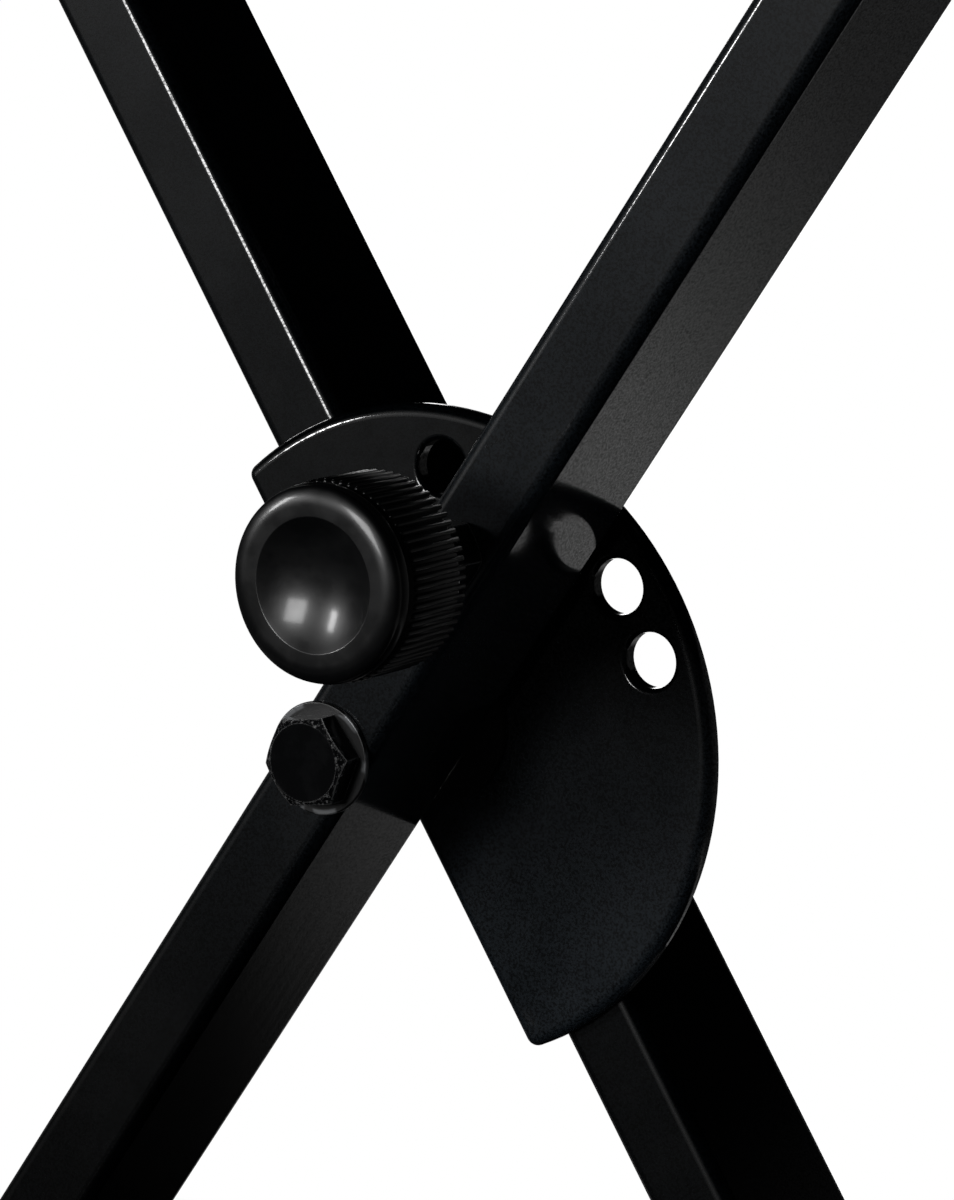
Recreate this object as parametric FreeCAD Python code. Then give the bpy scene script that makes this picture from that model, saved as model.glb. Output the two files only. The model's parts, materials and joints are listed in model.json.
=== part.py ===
import FreeCAD, Part
import math
import os

# Folding single-X keyboard stand, in millimetres.
# X to the right, Y to the back, Z up; the origin is on the floor, below the pivot.
# Each leg is drawn upright about the pivot and then leant to its side.

# driving dimensions: the two leg tubes
LEG_WIDTH = 16.0        # across the leg, in the plane of the X
LEG_DEPTH = 36.0        # front to back
LEG_WALL = 1.5
LEG_CORNER = 2.5
LEAN = 33.5             # of each leg from the vertical, in degrees
LOWER_LENGTH = 510.0    # pivot to floor bar
UPPER_LENGTH = 450.0    # pivot to support arm

# locking plate
PLATE_THICKNESS = 3.0
PLATE_RADIUS = 59.5
PLATE_OFFSET = 3.9      # its disc's centre, from the pivot towards the straight edge
PLATE_CHORD = 14.2      # straight edge, past the rear leg's centre line
PLATE_CORNER = 2.0
PLATE_EDGE_ROUND = 2.2
LOCK_RADIUS = 46.5      # pivot to lock holes
LOCK_STEP = 17.5        # degrees between holes
LOCK_STEPS_EACH_WAY = 2
LOCK_HOLE_RADIUS = 5.0
LOCK_LIP_ROUND = 1.0

# pivot
SPACER_THICKNESS = 1.0
SPACER_RADIUS = 14.0
BOLT_RADIUS = 5.0
BOLT_HEAD_FLATS = 15.0
BOLT_HEAD_HEIGHT = 4.7
BOLT_TURN = 39.0        # of the head on its shank, in degrees
HEX_FACE = 0.46         # flat circle's radius on a hexagon's end, as a share of its flats
BOLT_TIP = 3.0
NUT_HEIGHT = 9.5
NUT_COLLAR_HEIGHT = 2.5
NUT_COLLAR_RADIUS = 6.8
WASHER_RADIUS = 10.0
WASHER_THICKNESS = 1.0
WASHER_ROUND = 0.3
BUSH_RADIUS = 7.0
RUNNING_FIT = 0.05      # radial, and axial where faces slide
HOLE_FIT = 0.02         # radial, between pieces that stay together

# lock pin, its bush and knob
PIN_RADIUS = 4.8
PIN_LENGTH = 15.5       # shoulder to tip; the shoulder's washer stops the pin on its guide
PIN_TAPER = 1.4
PIN_HOLE_FIT = 0.08
PIN_CLEAR = 0.5         # tip to plate while the pin is held out
ROD_RADIUS = 3.5
NECK_LENGTH = 21.6      # knob to leg while the pin is held out
GUIDE_FLATS = 12.0
GUIDE_LENGTH = 16.0
GUIDE_SHANK_RADIUS = 5.5
GUIDE_SHANK_LENGTH = 4.0
PIN_GUIDE_RADIUS = 6.3
PIN_GUIDE_LENGTH = 8.0
PIN_GUIDE_CHAMFER = 0.9  # clears the rounding inside the tube's corners
SEAT_THICKNESS = 1.0
SEAT_RADIUS = 5.3
SPRING_RADIUS = 4.5     # to the wire's centre
SPRING_WIRE = 1.0
SPRING_TURNS = 6
KNOB_LENGTH = 19.2
KNOB_RIM_RADIUS = 16.7
KNOB_RIM_ROUND = 3.2
KNOB_SKIRT_RADIUS = 17.0
DISH_RADIUS = 11.2
DISH_DEPTH = 4.9
DISH_LIP = 1.7          # rounding between the dish and the flat of the rim
INSERT_FLATS = 10.0
INSERT_LENGTH = 9.0
INSERT_SETBACK = 1.0

# cross bars, their caps and sleeves
BAR_RADIUS = 12.5
BAR_WALL = 1.5
FLOOR_BAR_LENGTH = 470.0
ARM_LENGTH = 360.0
FLOOR_CAP_RADIUS = 19.0
FLOOR_CAP_LENGTH = 42.0
CAP_END = 5.0           # material beyond the bar's end
CAP_ROUND = 3.0
AXIS_HEIGHT = 18.0      # floor bar's centre line above the floor
LEVEL_STEP = 1.0        # each side of a levelling cap stands this much further out
LEVEL_CORNER = 12.0
SLEEVE_RADIUS = 15.5
SLEEVE_FLAT = 14.9      # arm's centre line to the sleeve's flat top
SLEEVE_GAP = 0.5
ARM_CAP_RADIUS = 17.5
ARM_CAP_LENGTH = 28.0
BAR_FIT = 0.05

# leg plugs and bar screws
PLUG_LENGTH = 24.0
PLUG_SETBACK = 1.0      # plug stops short of the bar
COPE_GAP = 0.05
SCREW_RADIUS = 3.0
SCREW_LENGTH = 22.0
SCREW_SPACING = 20.0    # along the bar
SCREW_HOLE_RADIUS = 3.2
SCREW_HEAD_RADIUS = 5.2
SCREW_HEAD_HEIGHT = 3.3
SCREW_HEAD_ROUND = 2.3
SCREW_SOCKET_FLATS = 4.0
SCREW_SOCKET_DEPTH = 2.0
SADDLE_RADIUS = 5.6
SEAT_HEIGHT = 8.6       # bar's centre line to the underside of a screw head
ACCESS_HOLE_RADIUS = 6.0

PIVOT_HEIGHT = AXIS_HEIGHT + LOWER_LENGTH * math.cos(math.radians(LEAN))
PLATE_FRONT = -PLATE_THICKNESS / 2
PLATE_BACK = PLATE_THICKNESS / 2
FRONT_LEG_BACK = PLATE_FRONT - SPACER_THICKNESS
FRONT_LEG_FACE = FRONT_LEG_BACK - LEG_DEPTH
REAR_LEG_BACK = PLATE_BACK + LEG_DEPTH
FRONT_LEG_MIDDLE = FRONT_LEG_BACK - LEG_DEPTH / 2
REAR_LEG_MIDDLE = PLATE_BACK + LEG_DEPTH / 2
KNOB_BACK = FRONT_LEG_FACE - NECK_LENGTH
KNOB_FACE = KNOB_BACK - KNOB_LENGTH
PIN_TIP = PLATE_FRONT - PIN_CLEAR
PIN_SHOULDER = PIN_TIP - PIN_LENGTH

ORIGIN = FreeCAD.Vector(0, 0, 0)
X_AXIS = FreeCAD.Vector(1, 0, 0)
Y_AXIS = FreeCAD.Vector(0, 1, 0)
Z_AXIS = FreeCAD.Vector(0, 0, 1)


def point(x, y, z):
    return FreeCAD.Vector(x, y, z)


def lean(shape, angle):
    """An upright leg's piece, turned about the pivot and lifted to its height."""
    placed = shape.copy()
    placed.rotate(ORIGIN, Y_AXIS, angle)
    placed.translate(point(0, 0, PIVOT_HEIGHT))
    return placed


def on_front_leg(shape):
    return lean(shape, LEAN)


def on_rear_leg(shape):
    return lean(shape, -LEAN)


def bar(radius, start, end, x=0.0, z=0.0):
    """A round bar along Y from start to end."""
    return Part.makeCylinder(radius, end - start, point(x, start, z), Y_AXIS)


def pipe(outer, inner, start, end, x=0.0, z=0.0):
    return bar(outer, start, end, x, z).cut(bar(inner, start, end, x, z))


def hexagon(flats, start, end):
    """A hexagonal bar along Y with flats to the left and right."""
    reach = flats / math.sqrt(3)
    corners = []
    for k in range(7):
        angle = math.radians(30 + 60 * k)
        corners.append(point(reach * math.cos(angle), start, reach * math.sin(angle)))
    return Part.Face(Part.makePolygon(corners)).extrude(point(0, end - start, 0))


def turned(profile):
    """A solid of revolution about the Y axis, from its (radius, y) outline."""
    wire = Part.makePolygon([point(r, y, 0) for r, y in profile + profile[:1]])
    return Part.Face(wire).revolve(ORIGIN, Y_AXIS, 360)


def moved(shape, x=0.0, y=0.0, z=0.0):
    placed = shape.copy()
    placed.translate(point(x, y, z))
    return placed


def rounded_block(width, depth, corner, bottom, top, middle):
    """An upright block with rounded corners, centred on x = 0 and y = middle."""
    block = Part.makeBox(width, depth, top - bottom, point(-width / 2, middle - depth / 2, bottom))
    upright = [e for e in block.Edges if abs(e.tangentAt(e.FirstParameter).z) > 0.9]
    return block.makeFillet(corner, upright)


def circles_at(shape, radius, y):
    """The full circles of that radius that lie in the plane y."""
    found = []
    for edge in shape.Edges:
        box = edge.BoundBox
        in_plane = abs(box.YMin - y) < 1e-3 and abs(box.YMax - y) < 1e-3
        if in_plane and abs(box.XLength - 2 * radius) < 1e-2 and abs(box.ZLength - 2 * radius) < 1e-2:
            found.append(edge)
    return found


# legs


def leg_tube(middle):
    """An upright leg tube, coped at both ends to sit on its cross bars."""
    inside_corner = LEG_CORNER - LEG_WALL
    bottom = -LOWER_LENGTH
    top = UPPER_LENGTH
    outer = rounded_block(LEG_WIDTH, LEG_DEPTH, LEG_CORNER, bottom, top, middle)
    inner = rounded_block(
        LEG_WIDTH - 2 * LEG_WALL, LEG_DEPTH - 2 * LEG_WALL, inside_corner, bottom, top, middle
    )
    start = middle - LEG_DEPTH
    end = middle + LEG_DEPTH
    tube = outer.cut(inner)
    for z in (bottom, top):
        tube = tube.cut(bar(BAR_RADIUS + COPE_GAP, start, end, 0, z))
    return tube.cut(bar(BUSH_RADIUS + HOLE_FIT, start, end))


def front_leg_tube():
    tube = leg_tube(FRONT_LEG_MIDDLE)
    wall_inside = FRONT_LEG_FACE + 2 * LEG_WALL
    bush_hole = bar(GUIDE_SHANK_RADIUS + HOLE_FIT, FRONT_LEG_FACE - 1, wall_inside, 0, LOCK_RADIUS)
    pin_hole = bar(PIN_RADIUS + PIN_HOLE_FIT, wall_inside, PLATE_FRONT, 0, LOCK_RADIUS)
    return on_front_leg(tube.cut(bush_hole).cut(pin_hole))


def rear_leg_tube():
    return on_rear_leg(leg_tube(REAR_LEG_MIDDLE))


def leg_plug(middle, end_z):
    """A threaded block in one end of a leg, with a clearance hole for each bar screw."""
    inward = 1 if end_z < 0 else -1
    near = end_z + inward * (BAR_RADIUS + PLUG_SETBACK)
    far = near + inward * PLUG_LENGTH
    fit = 2 * LEG_WALL + 2 * HOLE_FIT
    corner = LEG_CORNER - LEG_WALL
    low, high = min(near, far), max(near, far)
    plug = rounded_block(LEG_WIDTH - fit, LEG_DEPTH - fit, corner, low, high, middle)
    for y in screw_places(middle):
        plug = plug.cut(Part.makeCylinder(SCREW_RADIUS + HOLE_FIT, 2 * PLUG_LENGTH,
                                          point(0, y, low - PLUG_LENGTH / 2), Z_AXIS))
    return plug


def screw_places(middle):
    return [middle - SCREW_SPACING / 2, middle + SCREW_SPACING / 2]


# locking plate


def locking_plate():
    """The half disc, drawn on the upright rear leg, with its straight edge on the left."""
    disc = bar(PLATE_RADIUS, PLATE_FRONT, PLATE_BACK, -PLATE_OFFSET)
    keep = Part.makeBox(2 * PLATE_RADIUS, PLATE_THICKNESS, 2 * PLATE_RADIUS,
                        point(-PLATE_CHORD, PLATE_FRONT, -PLATE_RADIUS))
    plate = disc.common(keep)
    across = [e for e in plate.Edges if abs(e.Length - PLATE_THICKNESS) < 1e-4]
    plate = plate.makeFillet(PLATE_CORNER, across)
    rim = [e for e in plate.Edges if abs(e.BoundBox.YMax - PLATE_FRONT) < 1e-4]
    plate = plate.makeFillet(PLATE_EDGE_ROUND, rim)
    for angle in lock_angles():
        x = LOCK_RADIUS * math.cos(angle)
        z = LOCK_RADIUS * math.sin(angle)
        plate = plate.cut(bar(LOCK_HOLE_RADIUS, PLATE_FRONT, PLATE_BACK, x, z))
    plate = plate.makeFillet(LOCK_LIP_ROUND, circles_at(plate, LOCK_HOLE_RADIUS, PLATE_FRONT))
    plate = plate.cut(bar(BOLT_RADIUS + HOLE_FIT, PLATE_FRONT, PLATE_BACK))
    return on_rear_leg(plate)


def lock_angles():
    """Hole angles from the upright rear leg's +X; the middle one is under the front leg."""
    engaged = 90 - 2 * LEAN
    steps = range(-LOCK_STEPS_EACH_WAY, LOCK_STEPS_EACH_WAY + 1)
    return [math.radians(engaged + LOCK_STEP * k) for k in steps]


# pivot


def chamfered_hexagon(flats, start, end, chamfer_front, chamfer_back):
    """A hexagonal bar along Y whose corners are turned off at 30 degrees."""
    prism = hexagon(flats, start, end)
    reach = flats / math.sqrt(3) + 0.01
    flat_circle = HEX_FACE * flats
    drop = (reach - flat_circle) * math.tan(math.radians(30))
    outline = [(0, start)]
    if chamfer_front:
        outline += [(flat_circle, start), (reach, start + drop)]
    else:
        outline += [(reach, start)]
    if chamfer_back:
        outline += [(reach, end - drop), (flat_circle, end)]
    else:
        outline += [(reach, end)]
    outline += [(0, end)]
    return prism.common(turned(outline))


def pivot_bolt():
    under_head = FRONT_LEG_FACE - RUNNING_FIT - WASHER_THICKNESS
    head = chamfered_hexagon(BOLT_HEAD_FLATS, under_head - BOLT_HEAD_HEIGHT, under_head, True, False)
    head.rotate(ORIGIN, Y_AXIS, -BOLT_TURN)
    end = REAR_LEG_BACK + WASHER_THICKNESS + NUT_HEIGHT + BOLT_TIP
    tip = BOLT_RADIUS - 1
    shank = turned([(0, under_head), (BOLT_RADIUS, under_head), (BOLT_RADIUS, end - 1), (tip, end), (0, end)])
    return moved(head.fuse(shank).removeSplitter(), z=PIVOT_HEIGHT)


def washer(start):
    ring = pipe(WASHER_RADIUS, BOLT_RADIUS + HOLE_FIT, start, start + WASHER_THICKNESS)
    rims = circles_at(ring, WASHER_RADIUS, start) + circles_at(ring, WASHER_RADIUS, start + WASHER_THICKNESS)
    return moved(ring.makeFillet(WASHER_ROUND, rims), z=PIVOT_HEIGHT)


def lock_nut():
    start = REAR_LEG_BACK + WASHER_THICKNESS
    end = start + NUT_HEIGHT
    body_end = end - NUT_COLLAR_HEIGHT
    body = chamfered_hexagon(BOLT_HEAD_FLATS, start, body_end, True, True)
    nut = body.fuse(bar(NUT_COLLAR_RADIUS, body_end, end)).removeSplitter()
    return moved(nut.cut(bar(BOLT_RADIUS + HOLE_FIT, start, end)), z=PIVOT_HEIGHT)


def pivot_spacer():
    start = FRONT_LEG_BACK + RUNNING_FIT
    return moved(pipe(SPACER_RADIUS, BOLT_RADIUS + HOLE_FIT, start, PLATE_FRONT), z=PIVOT_HEIGHT)


def pivot_bush(start, fit):
    return moved(pipe(BUSH_RADIUS, BOLT_RADIUS + fit, start, start + LEG_DEPTH), z=PIVOT_HEIGHT)


# lock pin and knob: drawn on the Y axis, then moved to the front leg's lock hole


def at_lock_hole(shape):
    return on_front_leg(moved(shape, z=LOCK_RADIUS))


def guide_bush():
    """Hexagonal neck with a shank through the front wall of the leg."""
    start = FRONT_LEG_FACE - GUIDE_LENGTH
    neck = chamfered_hexagon(GUIDE_FLATS, start, FRONT_LEG_FACE, True, True)
    shank = bar(GUIDE_SHANK_RADIUS, FRONT_LEG_FACE, FRONT_LEG_FACE + GUIDE_SHANK_LENGTH)
    bore = bar(ROD_RADIUS + RUNNING_FIT, start, FRONT_LEG_FACE + GUIDE_SHANK_LENGTH)
    return at_lock_hole(neck.fuse(shank).removeSplitter().cut(bore))


def pin_guide():
    """Sleeve inside the leg, on its back wall, that keeps the pin square when it is pulled."""
    end = FRONT_LEG_BACK - LEG_WALL
    start = end - PIN_GUIDE_LENGTH
    bore = PIN_RADIUS + PIN_HOLE_FIT
    outer = PIN_GUIDE_RADIUS
    rim = outer - PIN_GUIDE_CHAMFER
    outline = [(bore, start), (outer, start), (outer, end - LEG_CORNER / 2), (rim, end), (bore, end)]
    return at_lock_hole(turned(outline))


def lock_pin():
    """Stepped pin: thick where it enters the plate, thin through the spring and the bush."""
    tip_radius = PIN_RADIUS - PIN_TAPER / 2
    rod_end = KNOB_BACK - INSERT_SETBACK - INSERT_LENGTH
    outline = [
        (0, rod_end), (ROD_RADIUS, rod_end), (ROD_RADIUS, PIN_SHOULDER), (PIN_RADIUS, PIN_SHOULDER),
        (PIN_RADIUS, PIN_TIP - PIN_TAPER), (tip_radius, PIN_TIP), (0, PIN_TIP),
    ]
    return at_lock_hole(turned(outline))


def spring_washer():
    start = PIN_SHOULDER - SEAT_THICKNESS
    return at_lock_hole(pipe(SEAT_RADIUS, ROD_RADIUS + RUNNING_FIT, start, PIN_SHOULDER))


def plunger_spring():
    """Compression spring between the guide bush and the washer on the pin's shoulder."""
    start = FRONT_LEG_FACE + GUIDE_SHANK_LENGTH + SPRING_WIRE / 2
    end = PIN_SHOULDER - SEAT_THICKNESS - SPRING_WIRE / 2
    pitch = (end - start) / SPRING_TURNS
    helix = Part.makeHelix(pitch, end - start, SPRING_RADIUS)
    section = Part.Wire(Part.makeCircle(SPRING_WIRE / 2, point(SPRING_RADIUS, 0, 0), Y_AXIS))
    coil = Part.Wire(helix).makePipeShell([section], True, False)
    coil.rotate(ORIGIN, X_AXIS, -90)
    return at_lock_hole(moved(coil, y=start))


def quarter(radius, y, size, start, end):
    """Points of an arc about (radius, y), between two angles in degrees."""
    turns = [math.radians(start + (end - start) * k / 5) for k in range(6)]
    return [(radius + size * math.cos(turn), y + size * math.sin(turn)) for turn in turns]


def lock_knob():
    """Pull knob: dished face, rounded rim, a groove and a plain skirt behind it."""
    face, back = KNOB_FACE, KNOB_BACK
    rim, skirt = KNOB_RIM_RADIUS, KNOB_SKIRT_RADIUS
    edge = face + DISH_LIP
    floor = DISH_DEPTH - DISH_LIP
    body = [(DISH_RADIUS * k / 6, edge + floor * (1 - (k / 6) ** 2)) for k in range(6)]
    body += quarter(DISH_RADIUS + DISH_LIP, edge, DISH_LIP, 180, 270)
    body += quarter(rim - KNOB_RIM_ROUND, face + KNOB_RIM_ROUND, KNOB_RIM_ROUND, 270, 360)
    body += [(rim, face + 4.0), (rim - 0.8, face + 4.4), (rim - 0.8, face + 5.0), (rim, face + 5.4)]
    body += [(rim, face + 6.6), (rim - 0.7, face + 7.0), (rim - 0.7, face + 7.6), (skirt, face + 8.2)]
    body += [(skirt, back - 0.8), (skirt - 0.8, back), (0, back)]
    knob = turned(body)
    pocket_start = back - INSERT_SETBACK - INSERT_LENGTH
    pocket = hexagon(INSERT_FLATS, pocket_start, back - INSERT_SETBACK)
    mouth = bar(ROD_RADIUS + 2 * RUNNING_FIT, back - INSERT_SETBACK, back)
    return at_lock_hole(knob.cut(pocket).cut(mouth))


def knob_insert():
    start = KNOB_BACK - INSERT_SETBACK - INSERT_LENGTH
    end = KNOB_BACK - INSERT_SETBACK
    nut = hexagon(INSERT_FLATS - 2 * HOLE_FIT, start + HOLE_FIT, end)
    return at_lock_hole(nut.cut(bar(ROD_RADIUS + HOLE_FIT, start, end)))


# cross bars, all drawn on an upright leg at height z from the pivot


def outward(z):
    """1 where the bar is above its leg, -1 where it is below."""
    return -1 if z < 0 else 1


def cross_bar(length, z, middle):
    """A round bar with a screw hole on the leg's side and an access hole opposite each."""
    tube = pipe(BAR_RADIUS, BAR_RADIUS - BAR_WALL, -length / 2, length / 2, 0, z)
    for y in screw_places(middle):
        for radius, side in ((SCREW_HOLE_RADIUS, -outward(z)), (ACCESS_HOLE_RADIUS, outward(z))):
            drill = Part.makeCylinder(radius, 2 * BAR_RADIUS, point(0, y, z), Z_AXIS * side)
            tube = tube.cut(drill)
    return tube


def on_bar(shape, z, y):
    """A fastener drawn below the origin, put in a bar so that it points into the leg."""
    placed = shape.copy()
    if outward(z) < 0:
        placed.rotate(ORIGIN, X_AXIS, 180)
    return moved(placed, 0, y, z)


def bar_screws(z, middle):
    """Two button-head screws, their heads inside the bar and their ends in the leg's plug."""
    shank = Part.makeCylinder(SCREW_RADIUS, SCREW_LENGTH, point(0, 0, -SEAT_HEIGHT - SCREW_LENGTH), Z_AXIS)
    head = Part.makeCylinder(SCREW_HEAD_RADIUS, SCREW_HEAD_HEIGHT, point(0, 0, -SEAT_HEIGHT), Z_AXIS)
    crown = [e for e in head.Edges if e.BoundBox.ZMin > -SEAT_HEIGHT + 1]
    head = head.makeFillet(SCREW_HEAD_ROUND, crown)
    socket = hexagon(SCREW_SOCKET_FLATS, 0, SCREW_SOCKET_DEPTH)
    socket.rotate(ORIGIN, X_AXIS, -90)
    socket.translate(point(0, 0, SCREW_HEAD_HEIGHT - SEAT_HEIGHT))
    screw = shank.fuse(head).removeSplitter().cut(socket)
    return Part.makeCompound([on_bar(screw, z, y) for y in screw_places(middle)])


def bar_saddles(z, middle):
    """Curved washers that seat the screw heads on the bar's inner wall."""
    inner = BAR_RADIUS - BAR_WALL
    disc = Part.makeCylinder(SADDLE_RADIUS, inner, point(0, 0, -SEAT_HEIGHT - inner), Z_AXIS)
    disc = disc.common(bar(inner - HOLE_FIT, -BAR_RADIUS, BAR_RADIUS))
    disc = disc.cut(Part.makeCylinder(SCREW_HOLE_RADIUS, 2 * inner, point(0, 0, -2 * inner), Z_AXIS))
    return Part.makeCompound([on_bar(disc, z, y) for y in screw_places(middle)])


# caps and sleeves: drawn in place, because their flats face the floor and the keyboard


def bar_centre(side, z):
    """Where an upright leg's point at height z ends up, for a leg that leans to that side."""
    angle = math.radians(LEAN)
    return side * z * math.sin(angle), PIVOT_HEIGHT + z * math.cos(angle)


def end_cap(blank, x, z, bar_length, length, end):
    """A cap on one end of a bar: end is -1 at the front and 1 at the back."""
    tip = end * (bar_length / 2 + CAP_END)
    inner = end * (bar_length / 2 + CAP_END - length)
    cap = blank(min(tip, inner), max(tip, inner))
    at_tip = [e for e in cap.Edges if max(abs(e.BoundBox.YMin - tip), abs(e.BoundBox.YMax - tip)) < 1e-3]
    cap = cap.makeFillet(CAP_ROUND, at_tip)
    socket = sorted([inner - end, end * bar_length / 2])
    cap = cap.cut(bar(BAR_RADIUS + BAR_FIT, socket[0], socket[1]))
    return moved(cap, x, 0, z)


def floor_cap_blank(start, end):
    """Round blank with a flat foot."""
    box = Part.makeBox(4 * FLOOR_CAP_RADIUS, end - start, 2 * FLOOR_CAP_RADIUS + AXIS_HEIGHT,
                       point(-2 * FLOOR_CAP_RADIUS, start, -AXIS_HEIGHT))
    return bar(FLOOR_CAP_RADIUS, start, end).common(box)


def levelling_cap_blank(start, end):
    """Four-sided blank: each side is a little further out than the one before it."""
    low = AXIS_HEIGHT
    outer = low + LEVEL_STEP
    top = low + 2 * LEVEL_STEP
    inner = low + 3 * LEVEL_STEP
    box = Part.makeBox(outer + inner, end - start, low + top, point(-outer, start, -low))
    return box.makeFillet(LEVEL_CORNER, [e for e in box.Edges if e.BoundBox.YLength > CAP_END])


def arm_cap_blank(start, end):
    return bar(ARM_CAP_RADIUS, start, end)


def arm_sleeves(side):
    """Rubber sleeves in front of and behind the leg, with flat tops."""
    x, z = bar_centre(side, UPPER_LENGTH)
    middle = FRONT_LEG_MIDDLE if side > 0 else REAR_LEG_MIDDLE
    reach = ARM_LENGTH / 2 + CAP_END - ARM_CAP_LENGTH - SLEEVE_GAP
    leg_front = middle - LEG_DEPTH / 2 - SLEEVE_GAP
    leg_back = middle + LEG_DEPTH / 2 + SLEEVE_GAP
    sleeves = []
    for start, end in ((-reach, leg_front), (leg_back, reach)):
        sleeve = pipe(SLEEVE_RADIUS, BAR_RADIUS + BAR_FIT, start, end)
        above = Part.makeBox(4 * SLEEVE_RADIUS, end - start, SLEEVE_RADIUS,
                             point(-2 * SLEEVE_RADIUS, start, SLEEVE_FLAT))
        sleeves.append(moved(sleeve.cut(above), x, 0, z))
    return sleeves


def side_pieces():
    """Bars, arms, plugs, screws, caps and sleeves of both legs, by node name."""
    pieces = {}
    legs = {
        "front_leg": (1, FRONT_LEG_MIDDLE, "left", "right"),
        "rear_leg": (-1, REAR_LEG_MIDDLE, "right", "left"),
    }
    for leg, (side, middle, floor_side, arm_side) in legs.items():
        low, high = -LOWER_LENGTH, UPPER_LENGTH
        drawn = {
            leg + "_lower_plug": leg_plug(middle, low),
            leg + "_upper_plug": leg_plug(middle, high),
            floor_side + "_floor_bar": cross_bar(FLOOR_BAR_LENGTH, low, middle),
            floor_side + "_floor_bar_screws": bar_screws(low, middle),
            floor_side + "_floor_bar_saddles": bar_saddles(low, middle),
            arm_side + "_support_arm": cross_bar(ARM_LENGTH, high, middle),
            arm_side + "_support_arm_screws": bar_screws(high, middle),
            arm_side + "_support_arm_saddles": bar_saddles(high, middle),
        }
        for name, shape in drawn.items():
            pieces[name] = lean(shape, side * LEAN)
        x, z = bar_centre(side, high)
        for sleeve, place in zip(arm_sleeves(side), ("front", "back")):
            pieces[arm_side + "_arm_sleeve_" + place] = sleeve
        for end, place in ((-1, "front"), (1, "back")):
            name = arm_side + "_arm_cap_" + place
            pieces[name] = end_cap(arm_cap_blank, x, z, ARM_LENGTH, ARM_CAP_LENGTH, end)
        x, z = bar_centre(side, low)
        for end, place in ((-1, "front"), (1, "back")):
            if leg == "front_leg":
                cap = end_cap(levelling_cap_blank, x, z, FLOOR_BAR_LENGTH, FLOOR_CAP_LENGTH, end)
                pieces["levelling_cap_" + place] = cap
            else:
                cap = end_cap(floor_cap_blank, x, z, FLOOR_BAR_LENGTH, FLOOR_CAP_LENGTH, end)
                pieces["floor_cap_" + place] = cap
    return pieces


def all_pieces():
    pieces = side_pieces()
    pieces["front_leg_tube"] = front_leg_tube()
    pieces["rear_leg_tube"] = rear_leg_tube()
    pieces["locking_plate"] = locking_plate()
    pieces["pivot_bolt"] = pivot_bolt()
    pieces["head_washer"] = washer(FRONT_LEG_FACE - RUNNING_FIT - WASHER_THICKNESS)
    pieces["rear_washer"] = washer(REAR_LEG_BACK)
    pieces["lock_nut"] = lock_nut()
    pieces["pivot_spacer"] = pivot_spacer()
    pieces["front_pivot_bush"] = pivot_bush(FRONT_LEG_FACE, RUNNING_FIT)
    pieces["rear_pivot_bush"] = pivot_bush(PLATE_BACK, HOLE_FIT)
    pieces["guide_bush"] = guide_bush()
    pieces["pin_guide"] = pin_guide()
    pieces["lock_pin"] = lock_pin()
    pieces["spring_washer"] = spring_washer()
    pieces["plunger_spring"] = plunger_spring()
    pieces["lock_knob"] = lock_knob()
    pieces["knob_insert"] = knob_insert()
    return pieces


def write_parts():
    os.makedirs("parts", exist_ok=True)
    for name, shape in all_pieces().items():
        shape.exportStep("parts/" + name + ".step")
        volume = sum(s.Volume for s in shape.Solids)
        print(name, "solids", len(shape.Solids), "valid", shape.isValid(), "mm3", round(volume))


write_parts()
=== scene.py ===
import json
import math

import bmesh
import bpy
from mathutils import Matrix, Vector


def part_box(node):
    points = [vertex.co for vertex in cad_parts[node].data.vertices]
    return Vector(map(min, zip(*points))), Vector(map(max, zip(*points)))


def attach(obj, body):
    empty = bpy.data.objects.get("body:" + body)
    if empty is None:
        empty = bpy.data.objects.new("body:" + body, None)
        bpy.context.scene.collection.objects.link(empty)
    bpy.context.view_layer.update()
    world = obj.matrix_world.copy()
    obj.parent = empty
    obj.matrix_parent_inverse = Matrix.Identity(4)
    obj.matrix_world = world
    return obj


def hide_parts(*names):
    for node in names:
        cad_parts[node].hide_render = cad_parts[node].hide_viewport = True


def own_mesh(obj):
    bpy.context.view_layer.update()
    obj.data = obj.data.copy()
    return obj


# Folding keyboard stand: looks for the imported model. Metres, Z up, the lock knob at the front (-Y).

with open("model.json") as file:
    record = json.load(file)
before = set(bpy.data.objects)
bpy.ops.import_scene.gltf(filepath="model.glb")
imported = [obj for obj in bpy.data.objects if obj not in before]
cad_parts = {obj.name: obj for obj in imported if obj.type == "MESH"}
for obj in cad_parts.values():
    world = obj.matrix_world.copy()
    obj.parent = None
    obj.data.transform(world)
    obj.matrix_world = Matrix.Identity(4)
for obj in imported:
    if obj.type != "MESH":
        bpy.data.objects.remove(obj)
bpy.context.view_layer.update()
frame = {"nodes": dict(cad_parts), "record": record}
nodes = frame["nodes"]
print("frame loaded:", len(nodes), "nodes")


def corners(node):
    low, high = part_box(node)
    return Vector(low), Vector(high)


def objectPoint(tree):
    return tree.nodes.new("ShaderNodeTexCoord").outputs["Object"]


camera = {
    "azimuth": 32.975,       # degrees to the right of straight on
    "elevation": 10.24,
    "roll": 1.479,
    "distance": 0.9297,      # from the pivot
    "right": 0.006613,       # of the pivot, in the picture
    "up": 0.022296,
    "focalPixels": 5188.5,
    "framePixels": 1200,     # height of the frame that focalPixels belongs to
    "sensor": 36.0,
}

knobLow, knobHigh = corners("lock_knob")
boltLow, boltHigh = corners("pivot_bolt")
plateFront = corners("locking_plate")[0].y
pivot = Vector(((boltLow.x + boltHigh.x) / 2, plateFront, (boltLow.z + boltHigh.z) / 2))


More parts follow.
